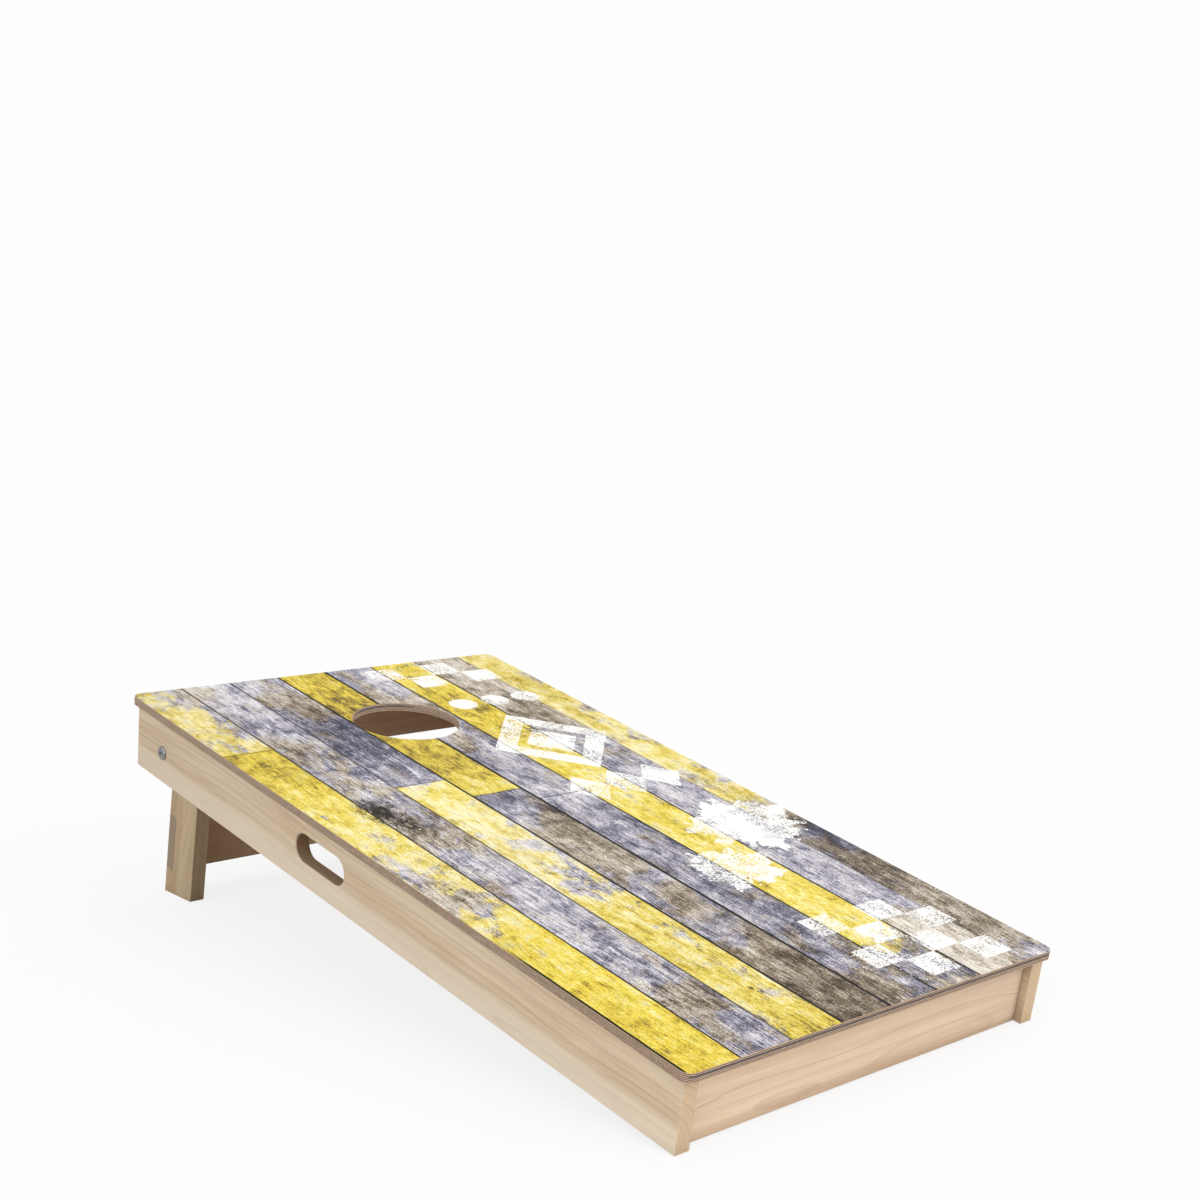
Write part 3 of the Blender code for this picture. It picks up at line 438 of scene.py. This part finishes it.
# ------------------------------------------------------------------ solid wood
def solid_wood(name, origin, turn, along, light, dark, heart, centre=(0.02, -0.05), ring=0.0052, seed=0.0, contrast=1.0,
               end_tint=(206, 182, 152), sweep=1.0, low_band=None, painted_shading_along=None, slot=None):
    """Clear-coated solid wood cut from a trunk whose axis runs along one axis of a frame, so that faces show swept
    grain and ends show rings. along is "x", "y" or "z"."""
    g = Graph(name)
    x, y, z = g.place(origin, turn)
    length, a, b = {"x": (x, y, z), "y": (y, x, z), "z": (z, x, y)}[along]
    bend_a = g.noise(g.vector(length * 1.6, a * 3.0 + seed, b * 3.0), 1.0, 2.0, 0.5)
    bend_b = g.noise(g.vector(length * 1.3 + 9.0, a * 3.0 + seed, b * 3.0 + 4.0), 1.0, 2.0, 0.5)
    fine_bend = g.noise(g.vector(length * 7.0 + 3.0, a * 22.0 + seed, b * 22.0), 1.0, 3.0, 0.55)
    ra = a - centre[0] + (bend_a - 0.5) * 0.060 * sweep + (fine_bend - 0.5) * 0.0036
    rb = b - centre[1] + (bend_b - 0.5) * 0.100 * sweep + (fine_bend - 0.5) * 0.0028
    radius = (ra * ra + rb * rb).sqrt()
    width_noise = g.noise(g.vector(radius * 60.0, seed + 2.0, 0.0), 1.0, 2.0, 0.5)
    phase = radius / ring + width_noise * 2.2
    saw = phase.fract()
    late = (saw.step(0.84, 0.97) * 0.75 + saw.step(0.25, 0.97) * 0.25) * saw.step(1.0, 0.975)
    strength = g.noise(g.vector(radius * 140.0, length * 0.8, seed + 5.0), 1.0, 2.0, 0.5).remap(0.3, 0.7, 0.25, 1.0)
    # Fibres: long, thin and slightly wavy.
    wave = a + (fine_bend - 0.5) * 0.004
    fibre = g.noise(g.vector(length * 9.0, wave * 900.0 + seed, b * 900.0), 1.0, 4.0, 0.65)
    streak = g.noise(g.vector(length * 2.2, wave * 150.0 + seed, b * 150.0), 1.0, 4.0, 0.6)
    flame = g.noise(g.vector(length * 3.2, a * 26.0 + seed, b * 26.0), 1.0, 5.0, 0.6, 0.8)
    fleck = g.noise(g.vector(length * 55.0, wave * 1500.0 + seed, b * 1500.0), 1.0, 2.0, 0.5)
    colour = g.mix(flame.step(0.36, 0.66), lin(*light), lin(*heart))
    colour = g.mix(late * strength * (0.42 * contrast), colour, lin(*dark))
    colour = g.mix(1.0, colour, g.grey(streak.remap(0.3, 0.7, 1.0 - 0.085 * contrast, 1.0 + 0.05 * contrast)), "MULTIPLY")
    colour = g.mix(1.0, colour, g.grey(fibre.remap(0.25, 0.75, 0.955, 1.04)), "MULTIPLY")
    colour = g.mix(fleck.step(0.66, 0.74) * 0.18, colour, lin(*[c * 0.62 for c in dark]))
    # A few pin knots.
    cell = g.voronoi(g.vector(length * 3.1 + seed, a * 17.0, b * 17.0), 1.0)
    pin = cell.step(0.050, 0.018)
    halo = cell.step(0.16, 0.05)
    colour = g.mix(halo * 0.25, colour, lin(*dark))
    colour = g.mix(pin * 0.8, colour, lin(92, 66, 44))
    # A band of another colour along the bottom of the part, with a wavy edge. On the front rail it is painted shade,
    # darker towards the underside; on the left rail the band is paler.
    if low_band is not None:
        low, high, amount, band = low_band
        level = z + (bend_b - 0.5) * 0.034 + (fine_bend - 0.5) * 0.004
        colour = g.mix(level.step(high, low) * amount, colour, lin(*band))
    # Painted light and shade along the part: the colour is scaled from one factor at one end to another at the other.
    if painted_shading_along is not None:
        start, end, first, last = painted_shading_along
        colour = g.mix(1.0, colour, g.grey(length.remap(start, end, first, last)), "MULTIPLY")
    # Cut ends drink more finish, so they are darker, with open pores.
    normal = g.object_normal()
    turned_y = normal[1] * math.cos(turn[0]) + normal[2] * math.sin(turn[0])
    turned_z = normal[2] * math.cos(turn[0]) - normal[1] * math.sin(turn[0])
    end = {"x": normal[0], "y": turned_y, "z": turned_z}[along].abs().step(0.75, 0.95)
    pore = g.noise(g.vector(a * 1600.0, b * 1600.0, seed), 1.0, 2.0, 0.6)
    end_colour = g.mix(late * 0.50, lin(*[c * 1.06 for c in end_tint]), lin(*[c * 0.84 for c in end_tint]))
    end_colour = g.mix(pore.step(0.55, 0.70) * 0.35, end_colour, lin(*[c * 0.66 for c in end_tint]))
    colour = g.mix(end, colour, end_colour)
    # Painted shade: the inner walls of the carry slot are darkened.
    if slot is not None:
        middle_y, middle_z, half_y, half_z = slot
        slot_wall_shade = normal[0].abs().step(0.78, 0.20) * (y - middle_y).abs().below(half_y) * (z - middle_z).abs().below(half_z)
        colour = g.mix(slot_wall_shade, colour, lin(190, 176, 163), "MULTIPLY")
    # Painted highlight: eased edges are made a little paler, where their rounding would catch the light.
    bevelled = g.add("ShaderNodeBevel")
    bevelled.samples = 4
    bevelled.inputs["Radius"].default_value = 0.0016
    geometry = g.add("ShaderNodeNewGeometry")
    dot = g.add("ShaderNodeVectorMath")
    dot.operation = "DOT_PRODUCT"
    g.tree.links.new(bevelled.outputs[0], dot.inputs[0])
    g.tree.links.new(geometry.outputs["Normal"], dot.inputs[1])
    edge_highlight = Value(g, dot.outputs["Value"]).step(0.985, 0.90)
    colour = g.mix(edge_highlight * (fibre * 0.5 + 0.10), colour, lin(*[min(255, c * 1.08) for c in light]))
    # Painted shade: corners, cut-outs and faces near other parts or the floor are darkened from ambient occlusion.
    occlusion = g.add("ShaderNodeAmbientOcclusion")
    occlusion.samples = 4
    occlusion.inputs["Distance"].default_value = 0.035
    colour = g.mix(1.0, colour, g.grey(Value(g, occlusion.outputs["AO"]).remap(0.05, 0.72, 0.66, 1.0)), "MULTIPLY")
    height = late * -0.25 + fibre * 0.5 + streak * 0.25 - fleck.step(0.66, 0.74) * 0.4
    rough = (streak * 0.14 + fibre * 0.08 + end * 0.18 + 0.36)
    return g.finish(colour, rough, g.bump(height, 0.16, 0.0005), Specular_IOR_Level=0.26)


# ------------------------------------------------------------------ plywood
def plywood():
    """Eleven thin layers on the cut edges, and birch face veneer above and below."""
    g = Graph("birch_plywood")
    x, y, z = g.place(DECK_ORIGIN, (TILT, 0, 0))
    normal = g.object_normal()
    facing = (normal[2] * math.cos(TILT) - normal[1] * math.sin(TILT)).abs().step(0.6, 0.8)
    frontward = (normal[1] * math.cos(TILT) + normal[2] * math.sin(TILT)).abs().step(0.6, 0.9)
    wave = g.noise(g.vector(x * 26.0, y * 26.0, z * 60.0), 1.0, 3.0, 0.6)
    layer = (z * -1.0 - 0.0003) / 0.0115 * 11.0 + (wave - 0.5) * 0.36
    number = layer.floor()
    odd = (number / 2.0).fract().above(0.25)
    line = (layer.fract() - 0.5).abs().step(0.38, 0.49)
    pick = g.noise(g.vector(x * 330.0, y * 330.0, number * 7.1), 1.0, 4.0, 0.65)
    runs = g.noise(g.vector(x * 24.0, y * 24.0, number * 3.3 + 1.0), 1.0, 4.0, 0.6)
    light_layer = g.mix(pick.step(0.35, 0.65), lin(228, 204, 180), lin(204, 178, 152))
    dark_layer = g.mix(pick.step(0.38, 0.62), lin(98, 74, 62), lin(74, 56, 48))
    slate_layer = g.mix(pick.step(0.38, 0.62), lin(92, 88, 94), lin(68, 66, 76))
    edge = g.mix(odd, light_layer, dark_layer)
    edge = g.mix(frontward * layer.step(2.4, 3.2) * layer.step(6.4, 5.6) * 0.85, edge, slate_layer)
    edge = g.mix(1.0, edge, g.grey(runs.remap(0.3, 0.7, 0.84, 1.12)), "MULTIPLY")
    edge = g.mix(line * 0.22, edge, lin(70, 54, 46))
    void, (pick_void, _, _) = g.cells(g.vector(x * 19.0, y * 19.0, number * 5.7))
    edge = g.mix(void.step(0.09, 0.05) * odd * pick_void * 0.8, edge, lin(44, 34, 28))
    # Rotary-cut face: broad wandering rings.
    bend = g.noise(g.vector(x * 5.0, y * 1.3, 2.0), 1.0, 3.0, 0.55)
    rings = ((x * 46.0 + bend * 9.0).fract() - 0.5).abs().step(0.18, 0.5)
    fibre = g.noise(g.vector(x * 620.0, y * 9.0, 5.0), 1.0, 4.0, 0.65)
    face = g.mix(rings * 0.40, lin(218, 190, 154), lin(188, 152, 112))
    face = g.mix(1.0, face, g.grey(fibre.remap(0.25, 0.75, 0.94, 1.05)), "MULTIPLY")
    blot = g.noise(g.vector(x * 6.0, y * 3.0, 8.0), 1.0, 5.0, 0.6)
    face = g.mix(blot.step(0.5, 0.75) * 0.30, face, lin(200, 160, 120))
    colour = g.mix(facing, edge, face)
    height = pick * 0.6 - line * 0.4 + fibre * 0.3
    return g.finish(colour, pick * 0.12 + 0.50, g.bump(height, 0.22, 0.0005), Specular_IOR_Level=0.20)


# ------------------------------------------------------------------ metal
def plated_steel(name, tint, dull, rough, thread=None):
    """Plated steel. thread is (origin, pitch, start, end): a screw thread about the x axis between two distances from x = 0."""
    g = Graph(name)
    x, y, z = g.place()
    cloud = g.noise(g.vector(x * 90.0, y * 90.0, z * 90.0), 1.0, 5.0, 0.6)
    grain = g.noise(g.vector(x * 2600.0, y * 700.0, z * 700.0), 1.0, 3.0, 0.6)
    spot = g.voronoi(g.vector(x * 700.0, y * 700.0, z * 700.0), 1.0)
    colour = g.mix(cloud.step(0.35, 0.68), lin(*tint), lin(*dull))
    colour = g.mix(grain.step(0.6, 0.8) * 0.22, colour, lin(*[c * 0.6 for c in dull]))
    occlusion = g.add("ShaderNodeAmbientOcclusion")
    occlusion.samples = 4
    occlusion.inputs["Distance"].default_value = 0.002
    corner = Value(g, occlusion.outputs["AO"]).step(0.85, 0.30)
    colour = g.mix(corner * 0.75, colour, lin(46, 42, 38))
    height = grain * 0.5 + spot.step(0.25, 0.0) * 0.3
    normal = g.bump(height, 0.14, 0.0002)
    if thread is not None:
        origin, pitch, start, end = thread
        turn = (z - origin[2]).atan2(y - origin[1]) / (2 * math.pi)
        ridge = ((x / pitch + turn).fract() - 0.5).abs() * 2.0 * x.abs().between(start, end)
        colour = g.mix(ridge.step(0.7, 1.0) * 0.55, colour, lin(60, 58, 56))
        bump = g.add("ShaderNodeBump")
        bump.inputs["Strength"].default_value = 1.0
        bump.inputs["Distance"].default_value = 0.0007
        g.put(bump.inputs["Height"], 1.0 - ridge)
        g.tree.links.new(normal, bump.inputs["Normal"])
        normal = bump.outputs[0]
    return g.finish(colour, cloud * 0.22 + grain * 0.10 + rough, normal, Metallic=1.0)


# ------------------------------------------------------------------ dress the CAD nodes
def dress(names, material):
    for name in names:
        obj = nodes[name]
        obj.data.materials.clear()
        obj.data.materials.append(material)


def soften(obj):
    """Joins the imported mesh's split edges, then smooths across shallow ones only, so eased edges read as round."""
    weld = obj.modifiers.new("weld", "WELD")
    weld.merge_threshold = 0.000004
    obj.data.shade_smooth()
    split = obj.modifiers.new("split", "EDGE_SPLIT")
    split.use_edge_angle = True
    split.use_edge_sharp = False
    split.split_angle = math.radians(50)
    weighted = obj.modifiers.new("weighted", "WEIGHTED_NORMAL")
    weighted.weight = 80


deck_turn = (TILT, 0, 0)
leg_turn = (LEG_TILT, 0, 0)
CARRY_SLOT = (0.718, -0.054, 0.0612, 0.0230)     # centre along and below the deck, and half sizes with the rounded rim
screws = [n for n in nodes if "screw" in n]

dress(["deck_print"], printed_film())
dress(["deck_panel"], plywood())
# Left rail: lighter towards the front and darker towards the back, painted light and shade.
dress(["side_rail_left"], solid_wood("rail_wood_left", DECK_ORIGIN, deck_turn, "y", (229, 210, 183), (160, 130, 98), (217, 193, 163),
                                     centre=(-0.345, -0.10), ring=0.0082, seed=1.7, contrast=1.5,
                                     low_band=(-0.078, -0.066, 0.62, (240, 225, 204)), painted_shading_along=(0.0, 1.2, 1.07, 0.91), slot=CARRY_SLOT))
dress(["side_rail_right"], solid_wood("rail_wood_right", DECK_ORIGIN, deck_turn, "y", (228, 207, 178), (170, 137, 102), (216, 192, 162),
                                      centre=(0.35, 0.02), ring=0.0076, seed=23.1, contrast=1.2, slot=CARRY_SLOT))
# Front rail: a darker band along the bottom and a darker right end, both painted shade.
dress(["front_rail"], solid_wood("rail_wood_front", DECK_ORIGIN, deck_turn, "x", (241, 217, 192), (180, 144, 112), (234, 208, 182),
                                 centre=(-0.045, -0.085), ring=0.0150, seed=41.3, contrast=1.45,
                                 low_band=(-0.097, -0.080, 0.38, (206, 174, 142)), painted_shading_along=(-0.3, 0.3, 1.03, 0.90)))
dress(["back_rail"], solid_wood("rail_wood_back", DECK_ORIGIN, deck_turn, "x", (236, 204, 174), (182, 140, 106), (224, 190, 158),
                                centre=(1.26, -0.02), ring=0.0092, seed=57.9, contrast=1.2))
dress(["pivot_block_left", "pivot_block_right"], solid_wood("block_wood", DECK_ORIGIN, deck_turn, "y", (214, 190, 158), (172, 142, 106), (204, 178, 144),
                                                            centre=(0.0, 0.05), ring=0.0040, seed=71.0))
# Legs: wood set darker and greyer than the rails' as painted shade, and darker towards the foot, also painted shade.
for side in ("left", "right"):
    dress([f"leg_{side}"], solid_wood(f"leg_wood_{side}", PIVOT, leg_turn, "z", (206, 184, 152), (160, 132, 98), (190, 166, 132),
                                      centre=(-0.05 if side == "left" else 0.05, 0.06), ring=0.0058, seed=83.0 if side == "left" else 97.0, contrast=1.2,
                                      painted_shading_along=(-0.21, -0.02, 0.93, 1.03)))
dress(["leg_brace"], solid_wood("brace_wood", PIVOT, leg_turn, "x", (222, 188, 154), (168, 128, 94), (208, 170, 134),
                                centre=(0.10, -0.17), ring=0.0080, seed=111.0, contrast=1.1, end_tint=(150, 134, 114)))
zinc = plated_steel("zinc_steel", (196, 198, 204), (160, 162, 168), 0.20)
yellow_zinc = plated_steel("screw_steel", (186, 166, 120), (150, 130, 92), 0.24)
dress([n for n in nodes if n.startswith(("spacer_washer", "nut_washer", "wing_nut"))], zinc)
bolt_tip = min(abs(v.co[0]) for v in nodes["pivot_bolt_left"].data.vertices)
dress(["pivot_bolt_left", "pivot_bolt_right"], plated_steel("bolt_steel", (196, 198, 204), (160, 162, 168), 0.20,
                                                            thread=(PIVOT, 0.00125, bolt_tip - 0.001, bolt_tip + 0.030)))
dress(screws, yellow_zinc)
for name, obj in nodes.items():
    soften(obj)

# ------------------------------------------------------------------ stage: floor, light, camera
floor_mesh = bpy.data.meshes.new("floor")
floor_mesh.from_pydata([(-9, -9, 0), (9, -9, 0), (9, 9, 0), (-9, 9, 0)], [], [(0, 1, 2, 3)])
floor = bpy.data.objects.new("floor", floor_mesh)
scene.collection.objects.link(floor)


def floor_material():
    """Pale matt paper, lit softly, that melts into the white surround."""
    g = Graph("floor_paper")
    x, y, z = g.place()
    r = (x * x + y * y).sqrt()
    paper = g.noise(g.vector(x * 220.0, y * 220.0, 0.0), 1.0, 3.0, 0.5)
    nodes_ = g.tree.nodes
    nodes_.remove(g.shader)
    near, bounce, glow = g.add("ShaderNodeBsdfDiffuse"), g.add("ShaderNodeBsdfDiffuse"), g.add("ShaderNodeEmission")
    g.put(near.inputs["Color"], g.grey(paper.remap(0.3, 0.7, 0.93, 0.95)))
    bounce.inputs["Color"].default_value = lin(178, 174, 170)
    glow.inputs["Strength"].default_value = 0.985
    seen, both = g.add("ShaderNodeMixShader"), g.add("ShaderNodeMixShader")
    g.put(both.inputs[0], r.step(1.0, 2.6, 0.84, 1.0))
    g.tree.links.new(near.outputs[0], both.inputs[1])
    g.tree.links.new(glow.outputs[0], both.inputs[2])
    g.tree.links.new(g.add("ShaderNodeLightPath").outputs["Is Camera Ray"], seen.inputs[0])
    g.tree.links.new(bounce.outputs[0], seen.inputs[1])
    g.tree.links.new(both.outputs[0], seen.inputs[2])
    g.tree.links.new(seen.outputs[0], nodes_["Material Output"].inputs["Surface"])
    return g.material


floor_mesh.materials.append(floor_material())

world = scene.world or bpy.data.worlds.new("studio")
scene.world = world
world.use_nodes = True
tree = world.node_tree
tree.nodes.clear()
output = tree.nodes.new("ShaderNodeOutputWorld")
path = tree.nodes.new("ShaderNodeLightPath")
seen, lit = tree.nodes.new("ShaderNodeBackground"), tree.nodes.new("ShaderNodeBackground")
seen.inputs["Color"].default_value = (1, 1, 1, 1)
seen.inputs["Strength"].default_value = 0.985
lit.inputs["Color"].default_value = (1.0, 0.995, 0.985, 1)
direction, parts = tree.nodes.new("ShaderNodeTexCoord"), tree.nodes.new("ShaderNodeSeparateXYZ")
lift = tree.nodes.new("ShaderNodeMapRange")
lift.inputs["To Min"].default_value, lift.inputs["To Max"].default_value = 0.40, 0.62
tree.links.new(direction.outputs["Generated"], parts.inputs[0])
tree.links.new(parts.outputs["Z"], lift.inputs["Value"])
tree.links.new(lift.outputs[0], lit.inputs["Strength"])
either = tree.nodes.new("ShaderNodeMixShader")
tree.links.new(path.outputs["Is Camera Ray"], either.inputs[0])
tree.links.new(lit.outputs[0], either.inputs[1])
tree.links.new(seen.outputs[0], either.inputs[2])
tree.links.new(either.outputs[0], output.inputs["Surface"])


def softlight(name, toward, strength, width, colour=(1, 1, 1)):
    """Even light from one side of the sky, as from a large diffuser. toward points from the board to the light."""
    light = bpy.data.lights.new(name, "SUN")
    light.energy = strength
    light.angle = math.radians(width)
    light.color = colour
    obj = bpy.data.objects.new(name, light)
    obj.location = Vector(toward) * 3
    obj.rotation_mode = "QUATERNION"
    obj.rotation_quaternion = Vector(toward).to_track_quat("Z", "Y")
    scene.collection.objects.link(obj)


softlight("front_light", (0.35, -0.87, 0.35), 1.70, 50, (1.0, 0.98, 0.95))
softlight("side_light", (-0.93, -0.20, 0.30), 1.36, 50)
softlight("top_light", (0.05, -0.10, 0.99), 0.58, 60)
softlight("far_light", (0.95, 0.16, 0.16), 0.80, 60)

# The camera stands where the photograph's did. Its picture is shifted, as with a shift lens, only from that place.
CAMERA_PLACE = Vector((-1.46899, -1.92738, 0.83960))
CAMERA_AXES = Matrix(((0.680606, 0.145316, -0.718094), (-0.731556, 0.188317, -0.655257), (0.040010, 0.971298, 0.234476)))
camera_data = bpy.data.cameras.new("camera")
camera = bpy.data.objects.new("camera", camera_data)
scene.collection.objects.link(camera)
camera.rotation_mode = "QUATERNION"
camera.location = CAMERA_PLACE
camera.rotation_quaternion = CAMERA_AXES.to_quaternion()
camera_data.sensor_width = 36.0
camera_data.lens = 55.0209
camera_data.clip_start, camera_data.clip_end = 0.02, 60.0
stand = bpy.data.objects.new("camera_stand", None)
stand.location = CAMERA_PLACE
scene.collection.objects.link(stand)
for channel, shift in (("shift_x", -0.23636), ("shift_y", 0.15100)):
    driver = camera_data.driver_add(channel).driver
    driver.type = "SCRIPTED"
    away = driver.variables.new()
    away.name = "away"
    away.type = "LOC_DIFF"
    away.targets[0].id = camera
    away.targets[1].id = stand
    driver.expression = f"{shift} if away < 0.001 else 0.0"
scene.camera = camera
scene.view_settings.view_transform = "Standard"
scene.view_settings.look = "None"
